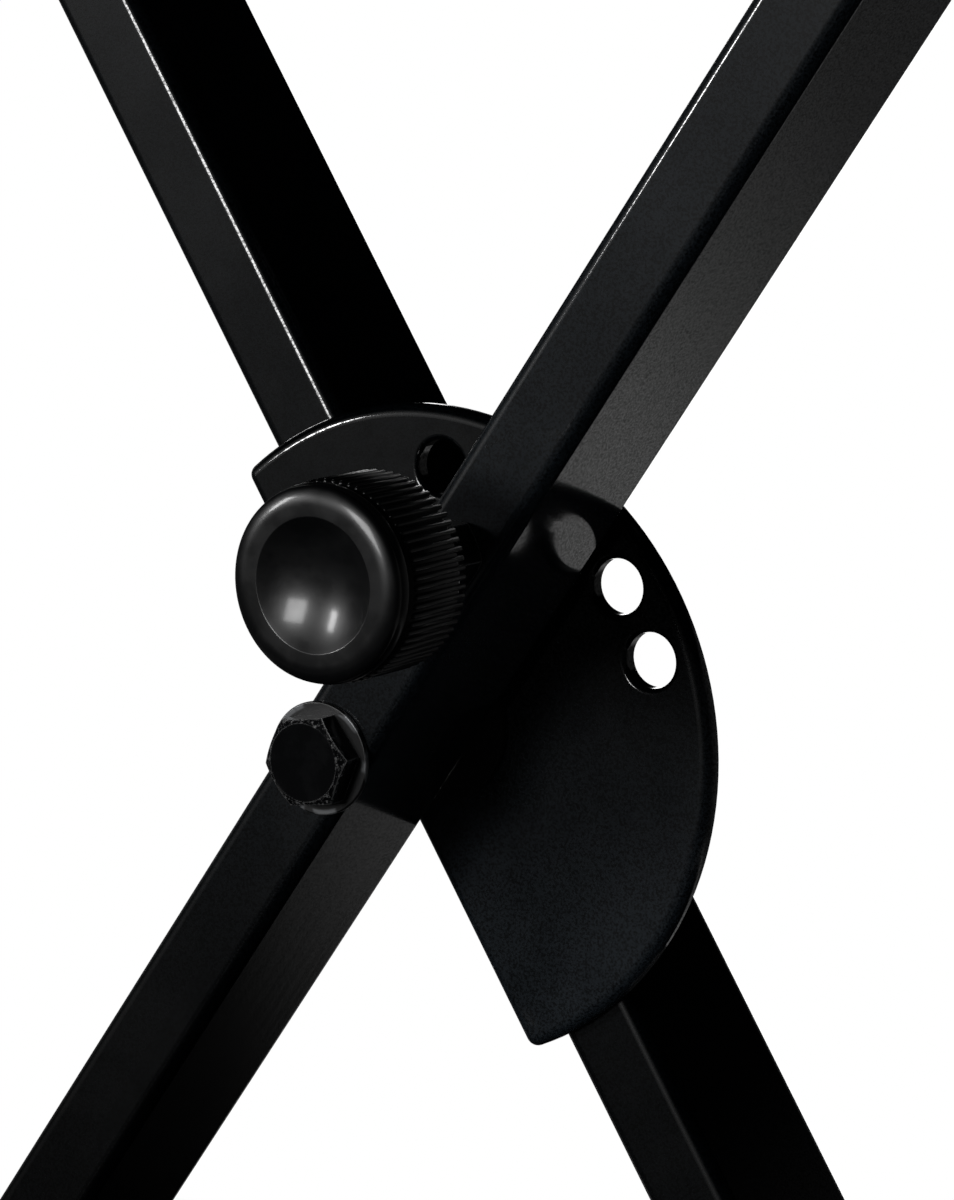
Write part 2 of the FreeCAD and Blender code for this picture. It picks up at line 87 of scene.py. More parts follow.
def photoCamera():
    a, e, roll = (math.radians(camera[k]) for k in ("azimuth", "elevation", "roll"))
    right = Vector((math.cos(a), math.sin(a), 0))
    up = Vector((-math.sin(a) * math.sin(e), math.cos(a) * math.sin(e), math.cos(e)))
    back = right.cross(up)
    right, up = (
        right * math.cos(roll) + up * math.sin(roll),
        up * math.cos(roll) - right * math.sin(roll),
    )
    data = bpy.data.cameras.new("photoCamera")
    data.sensor_fit = "VERTICAL"
    data.sensor_height = camera["sensor"]
    data.lens = camera["focalPixels"] * camera["sensor"] / camera["framePixels"]
    data.clip_start = 0.01
    data.clip_end = 50
    holder = bpy.data.objects.new("photoCamera", data)
    bpy.context.scene.collection.objects.link(holder)
    place = pivot + back * camera["distance"] + right * camera["right"] + up * camera["up"]
    turn = Matrix((right, up, back)).transposed().to_4x4()
    holder.matrix_world = Matrix.Translation(place) @ turn
    bpy.context.scene.camera = holder


photoCamera()
print("camera set")

# a pale studio: white behind for the camera, dim elsewhere, with a low bright band for gloss

studio = {
    "ambient": (0.10, 0.105, 0.11),
    "bandStops": (           # height of a direction, how much of the white backdrop gloss sees
        (-0.618, 0.0), (-0.604, 0.04), (-0.594, 0.09), (-0.580, 0.10), (-0.562, 0.24),
        (-0.545, 0.34), (-0.530, 0.30), (-0.512, 0.17), (-0.480, 0.07), (-0.400, 0.04),
        (-0.300, 0.07), (0.260, 0.07), (0.330, 0.0),
    ),
    "bandFront": (-0.2, 0.5, 0.25),    # the band fades to this share towards the front
    "floorRadius": 0.46,
    "floorFade": 0.37,
    "floorColour": (0.80, 0.80, 0.80),
    "floorGlow": 0.72,
    "floorRoughness": 0.9,
    "floorSides": 96,
}

lamps = {                    # direction from the pivot, distance, size, watts
    "frontLamp": {"to": (-0.200, -0.957, 0.210), "away": 2.2, "size": (0.60, 0.60), "watts": 29},
    "leftLamp": {"to": (-0.715, -0.672, 0.200), "away": 2.2, "size": (0.24, 0.44), "watts": 18},
    "backLamp": {"to": (-0.350, 0.935, -0.050), "away": 2.4, "size": (1.2, 1.2), "watts": 11},
}


def addBackdropMask(tree, glossy):
    # white for rays from the camera and through glass, and as far as given for gloss
    path = tree.nodes.new("ShaderNodeLightPath")
    clear = tree.nodes.new("ShaderNodeMath")
    clear.operation = "MAXIMUM"
    tree.links.new(path.outputs["Is Camera Ray"], clear.inputs[0])
    tree.links.new(path.outputs["Is Transmission Ray"], clear.inputs[1])
    shine = tree.nodes.new("ShaderNodeMath")
    shine.operation = "MULTIPLY"
    tree.links.new(path.outputs["Is Glossy Ray"], shine.inputs[0])
    if glossy is None:
        shine.inputs[1].default_value = 1
    else:
        tree.links.new(glossy, shine.inputs[1])
    both = tree.nodes.new("ShaderNodeMath")
    both.operation = "MAXIMUM"
    tree.links.new(clear.outputs[0], both.inputs[0])
    tree.links.new(shine.outputs[0], both.inputs[1])
    return both.outputs[0]


def buildWorld():
    world = bpy.data.worlds.new("studioWorld")
    bpy.context.scene.world = world
    world.use_nodes = True
    tree = world.node_tree
    tree.nodes.clear()
    where = tree.nodes.new("ShaderNodeTexCoord")
    split = tree.nodes.new("ShaderNodeSeparateXYZ")
    tree.links.new(where.outputs["Generated"], split.inputs[0])
    height = tree.nodes.new("ShaderNodeMapRange")
    height.inputs["From Min"].default_value = -1
    tree.links.new(split.outputs["Z"], height.inputs["Value"])
    band = tree.nodes.new("ShaderNodeValToRGB")
    stops = band.color_ramp.elements
    stops[0].position, stops[0].color = 0.0, (0, 0, 0, 1)
    stops[1].position, stops[1].color = 1.0, (0, 0, 0, 1)
    for level, white in studio["bandStops"]:
        stops.new((level + 1) / 2).color = (white, white, white, 1)
    tree.links.new(height.outputs["Result"], band.inputs["Fac"])
    behind = tree.nodes.new("ShaderNodeMapRange")
    behind.interpolation_type = "SMOOTHSTEP"
    behind.inputs["From Min"].default_value = studio["bandFront"][0]
    behind.inputs["From Max"].default_value = studio["bandFront"][1]
    behind.inputs["To Min"].default_value = studio["bandFront"][2]
    tree.links.new(split.outputs["Y"], behind.inputs["Value"])
    fading = tree.nodes.new("ShaderNodeMath")
    fading.operation = "MULTIPLY"
    tree.links.new(band.outputs["Color"], fading.inputs[0])
    tree.links.new(behind.outputs["Result"], fading.inputs[1])
    mix = tree.nodes.new("ShaderNodeMix")
    mix.data_type = "RGBA"
    tree.links.new(addBackdropMask(tree, fading.outputs[0]), mix.inputs["Factor"])
    path = tree.nodes.new("ShaderNodeLightPath")
    dim = tree.nodes.new("ShaderNodeMix")
    dim.data_type = "RGBA"
    tree.links.new(path.outputs["Is Glossy Ray"], dim.inputs["Factor"])
    dim.inputs["A"].default_value = (*studio["ambient"], 1)
    dim.inputs["B"].default_value = (0, 0, 0, 1)
    tree.links.new(dim.outputs["Result"], mix.inputs["A"])
    mix.inputs["B"].default_value = (1, 1, 1, 1)
    glow = tree.nodes.new("ShaderNodeBackground")
    tree.links.new(mix.outputs["Result"], glow.inputs["Color"])
    out = tree.nodes.new("ShaderNodeOutputWorld")
    tree.links.new(glow.outputs[0], out.inputs["Surface"])


def buildLamps():
    for name, lamp in lamps.items():
        data = bpy.data.lights.new(name, "AREA")
        data.shape = "RECTANGLE"
        data.size, data.size_y = lamp["size"]
        data.energy = lamp["watts"]
        holder = bpy.data.objects.new(name, data)
        bpy.context.scene.collection.objects.link(holder)
        toLamp = Vector(lamp["to"]).normalized()
        holder.matrix_world = Matrix.Translation(pivot + toLamp * lamp["away"]) @ (
            toLamp.to_track_quat("Z", "Y").to_matrix().to_4x4()
        )
        holder.visible_camera = False


def buildFloor():
    mesh = bpy.data.meshes.new("studioFloor")
    bm = bmesh.new()
    bmesh.ops.create_circle(
        bm, cap_ends=True, segments=studio["floorSides"], radius=studio["floorRadius"]
    )
    bm.to_mesh(mesh)
    bm.free()
    floor = bpy.data.objects.new("studioFloor", mesh)
    bpy.context.scene.collection.objects.link(floor)
    paint = bpy.data.materials.new("floorPaint")
    paint.use_nodes = True
    tree = paint.node_tree
    shader = tree.nodes["Principled BSDF"]
    shader.inputs["Base Color"].default_value = (*studio["floorColour"], 1)
    shader.inputs["Roughness"].default_value = studio["floorRoughness"]
    shader.inputs["Emission Color"].default_value = (1, 1, 1, 1)
    level = tree.nodes.new("ShaderNodeMath")
    level.operation = "MULTIPLY"
    level.inputs[1].default_value = studio["floorGlow"]
    tree.links.new(addBackdropMask(tree, None), level.inputs[0])
    tree.links.new(level.outputs[0], shader.inputs["Emission Strength"])
    length = tree.nodes.new("ShaderNodeVectorMath")
    length.operation = "LENGTH"
    tree.links.new(objectPoint(tree), length.inputs[0])
    fade = tree.nodes.new("ShaderNodeMapRange")
    fade.interpolation_type = "SMOOTHSTEP"
    fade.inputs["From Min"].default_value = studio["floorFade"]
    fade.inputs["From Max"].default_value = studio["floorRadius"]
    fade.inputs["To Min"].default_value = 1
    fade.inputs["To Max"].default_value = 0
    tree.links.new(length.outputs["Value"], fade.inputs["Value"])
    tree.links.new(fade.outputs["Result"], shader.inputs["Alpha"])
    floor.data.materials.append(paint)
    floor.visible_glossy = False


buildWorld()
buildLamps()
buildFloor()
bpy.context.scene.view_settings.view_transform = "Standard"
print("studio lit")


def newGroup(name, inputs, outputs):
    group = bpy.data.node_groups.new(name, "ShaderNodeTree")
    for label, kind, value in inputs:
        socket = group.interface.new_socket(label, in_out="INPUT", socket_type=kind)
        socket.default_value = value
    for label, kind in outputs:
        group.interface.new_socket(label, in_out="OUTPUT", socket_type=kind)
    return group, group.nodes.new("NodeGroupInput"), group.nodes.new("NodeGroupOutput")


def addMath(tree, operation, a, b=None, clamp=False):
    node = tree.nodes.new("ShaderNodeMath")
    node.operation = operation
    node.use_clamp = clamp
    for slot, value in enumerate((a, b)):
        if value is None:
            continue
        if isinstance(value, (int, float)):
            node.inputs[slot].default_value = value
        else:
            tree.links.new(value, node.inputs[slot])
    return node.outputs[0]


def addRange(tree, value, low, high, outLow=0.0, outHigh=1.0):
    node = tree.nodes.new("ShaderNodeMapRange")
    node.interpolation_type = "SMOOTHSTEP"
    tree.links.new(value, node.inputs["Value"])
    for label, number in (
        ("From Min", low), ("From Max", high), ("To Min", outLow), ("To Max", outHigh),
    ):
        if isinstance(number, (int, float)):
            node.inputs[label].default_value = number
        else:
            tree.links.new(number, node.inputs[label])
    return node.outputs["Result"]


def addNoise(tree, where, scale, detail=3.0, rough=0.5):
    node = tree.nodes.new("ShaderNodeTexNoise")
    tree.links.new(where, node.inputs["Vector"])
    node.inputs["Detail"].default_value = detail
    node.inputs["Roughness"].default_value = rough
    if isinstance(scale, (int, float)):
        node.inputs["Scale"].default_value = scale
    else:
        tree.links.new(scale, node.inputs["Scale"])
    return node.outputs["Fac"]


def makeGrain():
    # fine grain of a coated or moulded surface: Height for a Bump, Speck for colour
    group, start, end = newGroup(
        "surfaceGrain",
        [("Scale", "NodeSocketFloat", 1500.0), ("Waviness", "NodeSocketFloat", 0.3)],
        [("Height", "NodeSocketFloat"), ("Speck", "NodeSocketFloat")],
    )
    tree = group
    where = objectPoint(tree)
    fine = addNoise(tree, where, start.outputs["Scale"], 2.0, 0.6)
    peel = addNoise(tree, where, addMath(tree, "MULTIPLY", start.outputs["Scale"], 0.18), 1.0)
    peelPart = addMath(tree, "MULTIPLY", peel, start.outputs["Waviness"])
    tree.links.new(addMath(tree, "ADD", fine, peelPart), end.inputs["Height"])
    tree.links.new(addRange(tree, fine, 0.35, 0.70), end.inputs["Speck"])
    return group


def makeEdgeWear():
    # 1 on convex edges, broken up by noise
    group, start, end = newGroup(
        "edgeWear",
        [
            ("Radius", "NodeSocketFloat", 0.0004),
            ("Amount", "NodeSocketFloat", 0.5),
            ("Patch Scale", "NodeSocketFloat", 300.0),
        ],
        [("Mask", "NodeSocketFloat")],
    )
    tree = group
    rounded = tree.nodes.new("ShaderNodeBevel")
    rounded.samples = 4
    tree.links.new(start.outputs["Radius"], rounded.inputs["Radius"])
    flat = tree.nodes.new("ShaderNodeNewGeometry")
    dot = tree.nodes.new("ShaderNodeVectorMath")
    dot.operation = "DOT_PRODUCT"
    tree.links.new(rounded.outputs[0], dot.inputs[0])
    tree.links.new(flat.outputs["Normal"], dot.inputs[1])
    edge = addMath(tree, "SUBTRACT", 1.0, dot.outputs["Value"], clamp=True)
    edge = addRange(tree, edge, 0.02, 0.22)
    where = objectPoint(tree)
    patches = addNoise(tree, where, start.outputs["Patch Scale"], 4.0, 0.6)
    need = addMath(tree, "SUBTRACT", 0.95, start.outputs["Amount"])
    patches = addRange(tree, patches, need, addMath(tree, "ADD", need, 0.15))
    tree.links.new(addMath(tree, "MULTIPLY", edge, patches), end.inputs["Mask"])
    return group


def makeHandling():
    # broad smears from handling and dust, 0 to 1
    group, start, end = newGroup(
        "handling",
        [("Scale", "NodeSocketFloat", 40.0), ("Stretch", "NodeSocketFloat", 1.0)],
        [("Smear", "NodeSocketFloat")],
    )
    tree = group
    where = objectPoint(tree)
    scale = tree.nodes.new("ShaderNodeCombineXYZ")
    tree.links.new(start.outputs["Stretch"], scale.inputs["X"])
    scale.inputs["Y"].default_value = 1.0
    scale.inputs["Z"].default_value = 1.0
    wide = tree.nodes.new("ShaderNodeVectorMath")
    wide.operation = "MULTIPLY"
    tree.links.new(where, wide.inputs[0])
    tree.links.new(scale.outputs[0], wide.inputs[1])
    smear = addNoise(tree, wide.outputs[0], start.outputs["Scale"], 5.0, 0.62)
    tree.links.new(addRange(tree, smear, 0.36, 0.68), end.inputs["Smear"])
    return group


grainGroup = makeGrain()
wearGroup = makeEdgeWear()
handlingGroup = makeHandling()


def useGroup(tree, group, **values):
    node = tree.nodes.new("ShaderNodeGroup")
    node.node_tree = group
    for label, value in values.items():
        node.inputs[label.replace("_", " ")].default_value = value
    return node


def newMaterial(name, colour, roughness, specular, metallic=0.0, coat=0.0):
    material = bpy.data.materials.new(name)
    material.use_nodes = True
    shader = material.node_tree.nodes["Principled BSDF"]
    shader.inputs["Base Color"].default_value = (*colour, 1)
    shader.inputs["Roughness"].default_value = roughness
    shader.inputs["Specular IOR Level"].default_value = specular
    shader.inputs["Metallic"].default_value = metallic
    shader.inputs["Coat Weight"].default_value = coat
    return material, material.node_tree, shader


def mixColours(tree, factor, first, second):
    mix = tree.nodes.new("ShaderNodeMix")
    mix.data_type = "RGBA"
    tree.links.new(factor, mix.inputs["Factor"])
    for label, value in (("A", first), ("B", second)):
        if isinstance(value, tuple):
            mix.inputs[label].default_value = (*value, 1)
        else:
            tree.links.new(value, mix.inputs[label])
    return mix.outputs["Result"]


def addBump(tree, shader, height, strength, depth):
    bump = tree.nodes.new("ShaderNodeBump")
    bump.inputs["Strength"].default_value = strength
    bump.inputs["Distance"].default_value = depth
    tree.links.new(height, bump.inputs["Height"])
    tree.links.new(bump.outputs["Normal"], shader.inputs["Normal"])


powder = {
    "colour": (0.0023, 0.0030, 0.0038),
    "roughness": (0.34, 0.40),
    "sideRoughness": 0.11,              # faces along the pivot's axis are smoother
    "sideTurn": (0.74, 0.96),           # and they begin where the normal turns off that axis
    "specular": 0.09,
    "coat": 0.52,
    "coatRoughness": 0.08,
    "grainScale": 2400.0,
    "grainDepth": 0.00004,
    "grainStrength": 0.18,
    "waviness": 0.5,
    "speck": (0.34, 1.80),              # how far the grain darkens and lightens
    "smearScale": 30.0,
    "smearTint": (0.88, 1.12),
    "streak": (0.55, 1.05),
    "streakFrom": (0.425, 0.385),       # heights between which the draw marks come in
    "streakStretch": (90.0, 520.0, 7.0),
    "streakEdge": (0.33, 0.62),
    "worn": (0.030, 0.033, 0.036),
    "wearRadius": 0.0006,
    "wearPatches": 420.0,
    "weld": (0.0196, -0.0015, 0.3905),  # a spot weld shows through the plate here
    "weldRadius": 0.0042,
    "weldRipple": (520.0, 60.0),        # scale, and height against the grain
}

# base colours that change with height, tuned to the tones seen from the front camera;
# they stand in for how the light falls off there
frontTone = {
    "lower": (0.0003, 0.0004, 0.0005), "upper": (0.0029, 0.0038, 0.0047),
    "heights": (0.375, 0.500), "streakLean": -33.5,
}
rearTone = {
    "lower": (0.0005, 0.0007, 0.0009), "upper": (0.0012, 0.0016, 0.0020),
    "heights": (0.400, 0.620),
}
plateTone = {
    "lower": (0.0050, 0.0066, 0.0082), "upper": (0.0005, 0.0007, 0.0009),
    "heights": (0.375, 0.480),
}


def addScaled(tree, colour, factor):
    mix = tree.nodes.new("ShaderNodeVectorMath")
    mix.operation = "SCALE"
    if isinstance(colour, tuple):
        mix.inputs[0].default_value = colour
    else:
        tree.links.new(colour, mix.inputs[0])
    tree.links.new(factor, mix.inputs["Scale"])
    return mix.outputs[0]


def addAlong(tree, axis, low, high):
    split = tree.nodes.new("ShaderNodeSeparateXYZ")
    tree.links.new(objectPoint(tree), split.inputs[0])
    return addRange(tree, split.outputs[axis], low, high)


def addStreaks(tree, angle):
    # lengthwise draw marks along a leg that leans by this angle
    where = objectPoint(tree)
    turn = tree.nodes.new("ShaderNodeMapping")
    turn.inputs["Rotation"].default_value = (0, math.radians(angle), 0)
    tree.links.new(where, turn.inputs["Vector"])
    stretch = tree.nodes.new("ShaderNodeVectorMath")
    stretch.operation = "MULTIPLY"
    stretch.inputs[1].default_value = powder["streakStretch"]
    tree.links.new(turn.outputs["Vector"], stretch.inputs[0])
    marks = addNoise(tree, stretch.outputs[0], 1.0, 3.0, 0.55)
    return addRange(tree, marks, *powder["streakEdge"])


def addFacing(tree):
    # 1 on faces square to the pivot's axis, 0 on the tube's sides
    turned = tree.nodes.new("ShaderNodeSeparateXYZ")
    normal = tree.nodes.new("ShaderNodeNewGeometry").outputs["Normal"]
    tree.links.new(normal, turned.inputs[0])
    return addRange(tree, addMath(tree, "ABSOLUTE", turned.outputs["Y"]), *powder["sideTurn"])


def addSpot(tree, centre, radius):
    where = objectPoint(tree)
    gap = tree.nodes.new("ShaderNodeVectorMath")
    gap.operation = "DISTANCE"
    gap.inputs[1].default_value = centre
    tree.links.new(where, gap.inputs[0])
    return addRange(tree, gap.outputs["Value"], 0.0, radius, 1.0, 0.0)


def powderCoat(name, tone=None, weld=False, wearAmount=0.36):
    material, tree, shader = newMaterial(
        name, powder["colour"], powder["roughness"][0], powder["specular"], coat=powder["coat"]
    )
    shader.inputs["Coat Roughness"].default_value = powder["coatRoughness"]
    grain = useGroup(tree, grainGroup, Scale=powder["grainScale"], Waviness=powder["waviness"])
    smear = useGroup(tree, handlingGroup, Scale=powder["smearScale"]).outputs["Smear"]
    wear = useGroup(
        tree, wearGroup, Radius=powder["wearRadius"], Amount=wearAmount,
        Patch_Scale=powder["wearPatches"],
    )
    speck = addRange(tree, grain.outputs["Speck"], 0.0, 1.0, powder["speck"][1], powder["speck"][0])
    colour = powder["colour"]
    if tone is not None:
        share = addAlong(tree, "Z", *tone["heights"])
        colour = mixColours(tree, share, tone["lower"], tone["upper"])
    colour = addScaled(tree, colour, speck)
    colour = addScaled(tree, colour, addRange(tree, smear, 0.0, 1.0, *powder["smearTint"]))
    colour = mixColours(tree, wear.outputs["Mask"], colour, powder["worn"])
    tree.links.new(colour, shader.inputs["Base Color"])
    rough = addRange(tree, smear, 0.0, 1.0, *powder["roughness"])
    rough = addRange(tree, addFacing(tree), 0.0, 1.0, powder["sideRoughness"], rough)
    tree.links.new(rough, shader.inputs["Roughness"])
    gloss = addMath(tree, "MULTIPLY", speck, powder["coat"])
    if tone is not None and "streakLean" in tone:
        marks = addStreaks(tree, tone["streakLean"])
        near = addAlong(tree, "Z", *powder["streakFrom"])
        streak = addRange(tree, marks, 0.0, 1.0, *powder["streak"])
        streak = addMath(tree, "SUBTRACT", streak, 1.0)
        streak = addMath(tree, "ADD", addMath(tree, "MULTIPLY", streak, near), 1.0)
        gloss = addMath(tree, "MULTIPLY", gloss, streak)
    tree.links.new(gloss, shader.inputs["Coat Weight"])
    height = grain.outputs["Height"]
    if weld:
        spot = addSpot(tree, powder["weld"], powder["weldRadius"])
        scale, lift = powder["weldRipple"]
        ripple = addMath(tree, "MULTIPLY", addNoise(tree, objectPoint(tree), scale, 3.0, 0.6), lift)
        height = addMath(tree, "ADD", height, addMath(tree, "MULTIPLY", spot, ripple))
    addBump(tree, shader, height, powder["grainStrength"], powder["grainDepth"])
    return material


knobFinish = {
    "colour": (0.0010, 0.0011, 0.0013),
    "worn": (0.006, 0.0065, 0.007),
    "roughness": (0.30, 0.36),
    "specular": 0.25,
    "coat": 0.18,
    "coatRoughness": 0.12,
    "grainScale": 1800.0,
    "grainDepth": 0.00004,
    "grainStrength": 0.10,
    "smearScale": 160.0,
    "wearRadius": 0.0004,
    "wearAmount": 0.6,
    "wearPatches": 700.0,
}


def knobPlastic():
    material, tree, shader = newMaterial(
        "knobPlastic", knobFinish["colour"], knobFinish["roughness"][0], knobFinish["specular"],
        coat=knobFinish["coat"],
    )
    shader.inputs["Coat Roughness"].default_value = knobFinish["coatRoughness"]
    grain = useGroup(tree, grainGroup, Scale=knobFinish["grainScale"], Waviness=0.4)
    smear = useGroup(tree, handlingGroup, Scale=knobFinish["smearScale"])
    wear = useGroup(
        tree, wearGroup, Radius=knobFinish["wearRadius"], Amount=knobFinish["wearAmount"],
        Patch_Scale=knobFinish["wearPatches"],
    )
    colour = mixColours(tree, wear.outputs["Mask"], knobFinish["colour"], knobFinish["worn"])
    tree.links.new(colour, shader.inputs["Base Color"])
    rough = addRange(tree, smear.outputs["Smear"], 0.0, 1.0, *knobFinish["roughness"])
    tree.links.new(rough, shader.inputs["Roughness"])
    addBump(
        tree, shader, grain.outputs["Height"], knobFinish["grainStrength"], knobFinish["grainDepth"]
    )
    return material


steel = {
    "black": (0.0012, 0.0013, 0.0015),
    "bare": (0.30, 0.30, 0.30),
    "specular": 0.35,
    "roughness": (0.14, 0.18),
    "chamfer": (0.00675, 0.00705),       # radii between which the head's chamfer starts
    "chamferFront": (-0.0428, -0.0433),  # and depths behind which it isn't rubbed
    "washerWorn": (0.00885, 0.00930),    # radii between which the washers are rubbed bare
    "washerBare": (0.11, 0.113, 0.117),
    "washerRoughness": 0.40,
    "washerMetal": 0.7,
    "scratches": (1300.0, 0.52, 0.70),   # scale of the noise, and the levels it is cut at
    "patches": (110.0, 0.47, 0.53),
    "smearTint": 1.3,
    "bareRougher": 0.2,
}


def addRadius(tree):
    # distance from the pivot's axis
    where = objectPoint(tree)
    flat = tree.nodes.new("ShaderNodeVectorMath")
    flat.operation = "MULTIPLY_ADD"
    flat.inputs[1].default_value = (1, 0, 1)
    flat.inputs[2].default_value = (-pivot.x, 0, -pivot.z)
    tree.links.new(where, flat.inputs[0])
    length = tree.nodes.new("ShaderNodeVectorMath")
    length.operation = "LENGTH"
    tree.links.new(flat.outputs[0], length.inputs[0])
    return length.outputs["Value"]


def addRubbed(tree):
    # the pivot bolt's chamfer, rubbed bare in scratches
    ring = addRange(tree, addRadius(tree), *steel["chamfer"])
    front = addAlong(tree, "Y", *steel["chamferFront"])
    scale, low, high = steel["scratches"]
    scratches = addRange(tree, addNoise(tree, objectPoint(tree), scale, 5.0, 0.75), low, high)
    return addMath(tree, "MULTIPLY", addMath(tree, "MULTIPLY", ring, front), scratches)


def blackSteel(name, rubbed=False):
    material, tree, shader = newMaterial(
        name, steel["black"], steel["roughness"][0], steel["specular"]
    )
    grain = useGroup(tree, grainGroup, Scale=1400.0, Waviness=0.8)
    smear = useGroup(tree, handlingGroup, Scale=260.0)
    wear = useGroup(tree, wearGroup, Radius=0.0005, Amount=0.62, Patch_Scale=1500.0)
    bare = wear.outputs["Mask"]
    if rubbed:
        bare = addMath(tree, "MAXIMUM", bare, addRubbed(tree))
    lighter = tuple(steel["smearTint"] * c for c in steel["black"])
    colour = mixColours(tree, smear.outputs["Smear"], steel["black"], lighter)
    colour = mixColours(tree, bare, colour, steel["bare"])
    tree.links.new(colour, shader.inputs["Base Color"])
    tree.links.new(bare, shader.inputs["Metallic"])
    rough = addRange(tree, smear.outputs["Smear"], 0.0, 1.0, *steel["roughness"])
    rough = addMath(tree, "ADD", rough, addMath(tree, "MULTIPLY", bare, steel["bareRougher"]))
    tree.links.new(rough, shader.inputs["Roughness"])
    addBump(tree, shader, grain.outputs["Height"], 0.2, 0.00005)
    return material


def wornSteel():
    material, tree, shader = newMaterial(
        "wornSteel", steel["black"], steel["washerRoughness"], steel["specular"]
    )
    grain = useGroup(tree, grainGroup, Scale=1600.0, Waviness=0.6)
    scale, low, high = steel["patches"]
    patches = addRange(tree, addNoise(tree, objectPoint(tree), scale, 3.0, 0.6), low, high)
    rubbed = addRange(tree, addRadius(tree), *steel["washerWorn"])
    worn = addMath(tree, "MULTIPLY", rubbed, patches)
    colour = mixColours(tree, worn, steel["black"], steel["washerBare"])
    tree.links.new(colour, shader.inputs["Base Color"])
    metal = addMath(tree, "MULTIPLY", worn, steel["washerMetal"])
    tree.links.new(metal, shader.inputs["Metallic"])
    addBump(tree, shader, grain.outputs["Height"], 0.25, 0.00006)
    return material


def zincSteel():
    material, tree, shader = newMaterial("zincSteel", (0.52, 0.53, 0.55), 0.32, 0.5, 1.0)
    grain = useGroup(tree, grainGroup, Scale=900.0, Waviness=0.9)
    smear = useGroup(tree, handlingGroup, Scale=220.0, Stretch=0.2)
    colour = mixColours(tree, smear.outputs["Smear"], (0.58, 0.59, 0.60), (0.40, 0.40, 0.38))
    tree.links.new(colour, shader.inputs["Base Color"])
    tree.links.new(
        addRange(tree, smear.outputs["Smear"], 0.0, 1.0, 0.26, 0.45), shader.inputs["Roughness"]
    )
    addBump(tree, shader, grain.outputs["Height"], 0.15, 0.00004)
    return material


def mouldedRubber(name, colour, roughness, grainScale, strength):
    material, tree, shader = newMaterial(name, colour, roughness, 0.25)
    grain = useGroup(tree, grainGroup, Scale=grainScale, Waviness=0.6)
    smear = useGroup(tree, handlingGroup, Scale=70.0)
    wear = useGroup(tree, wearGroup, Radius=0.0008, Amount=0.5, Patch_Scale=500.0)
    dusty = tuple(1.9 * c + 0.004 for c in colour)
    blend = mixColours(tree, smear.outputs["Smear"], colour, dusty)
    blend = mixColours(tree, wear.outputs["Mask"], blend, dusty)
    tree.links.new(blend, shader.inputs["Base Color"])
    rough = addRange(tree, smear.outputs["Smear"], 0.0, 1.0, roughness - 0.08, roughness + 0.10)
    tree.links.new(rough, shader.inputs["Roughness"])
    addBump(tree, shader, grain.outputs["Height"], strength, 0.00012)
    return material


def nylon():
    material, tree, shader = newMaterial("blackNylon", (0.004, 0.004, 0.0042), 0.6, 0.12)
    grain = useGroup(tree, grainGroup, Scale=1200.0, Waviness=0.5)
    colour = mixColours(tree, grain.outputs["Speck"], (0.003, 0.003, 0.0032), (0.006, 0.006, 0.0062))
    tree.links.new(colour, shader.inputs["Base Color"])
    addBump(tree, shader, grain.outputs["Height"], 0.2, 0.00005)
    return material


finishes = {
    "powder_coat": powderCoat("powderCoat"),
    "knob_plastic": knobPlastic(),
    "black_steel": blackSteel("blackSteel"),
    "worn_steel": wornSteel(),
    "bright_steel": zincSteel(),
    "cap_rubber": mouldedRubber("capRubber", (0.014, 0.0145, 0.015), 0.55, 900.0, 0.25),
    "sleeve_rubber": mouldedRubber("sleeveRubber", (0.018, 0.0182, 0.019), 0.72, 520.0, 0.5),
    "nylon": nylon(),
}
slotOf = {part["node"]: part["material_slot"] for part in frame["record"]["subparts"]}

ownFinish = {
    "front_leg_tube": powderCoat("frontLegCoat", tone=frontTone),
    "rear_leg_tube": powderCoat("rearLegCoat", tone=rearTone),
    "locking_plate": powderCoat("plateCoat", tone=plateTone, weld=True, wearAmount=0.55),
    "pivot_bolt": blackSteel("boltSteel", rubbed=True),
}


def paintNode(node):
    thing = nodes[node]
    thing.data.materials.clear()
    thing.data.materials.append(ownFinish.get(node) or finishes[slotOf[node]])


for nodeName in nodes:
    paintNode(nodeName)
print("nodes finished with", len(finishes) + len(ownFinish), "materials")


# the knob: a spun body with a dished face, and ribs with rounded ends set into its skirt

knobShape = {                # millimetres: radius, and depth behind the face
    "dish": 11.2,
    "dishDepth": 2.84,
    "dishRings": 18,
    "lip": 0.5,
    "lipAt": 11.45,
    "lipStart": 243.5,        # degrees round the lip's arc, which ends at 270
    "rim": 16.7,
    "crown": (13.2, 5.5),     # the rim's shallow arc: where it starts, and its radius
    "crownEnd": 300,
    "groove": (               # from the crown to the skirt: radius against the rim, and depth
        (-0.45, 1.0), (-0.32, 1.35), (-0.34, 1.6), (-0.36, 1.75), (-0.25, 1.95), (-0.10, 2.2),
        (-0.02, 2.6), (0.0, 3.0), (-0.04, 3.4), (-0.20, 3.75), (-0.50, 4.05), (-0.85, 4.3),
        (-0.95, 4.6), (-0.80, 4.9),
    ),
    "skirt": 16.45,
    "length": 19.2,
    "backFace": (             # radius, and depth against the back end
        (15.2, 0.0), (13.2, 0.0), (12.9, -0.15), (12.7, -0.6), (8.2, -0.6), (8.0, -0.15),
        (7.7, 0.0),
    ),
    "mouth": 3.7,
    "pocket": 5.9,
    "pocketDepth": 10.0,
    "steps": 132,
    "ribs": 66,
    "ribFacets": (8, 6),
    "ribRadius": 0.60,
    "ribSink": 0.05,
    "ribStart": 5.1,
    "ribEnd": 18.95,
}


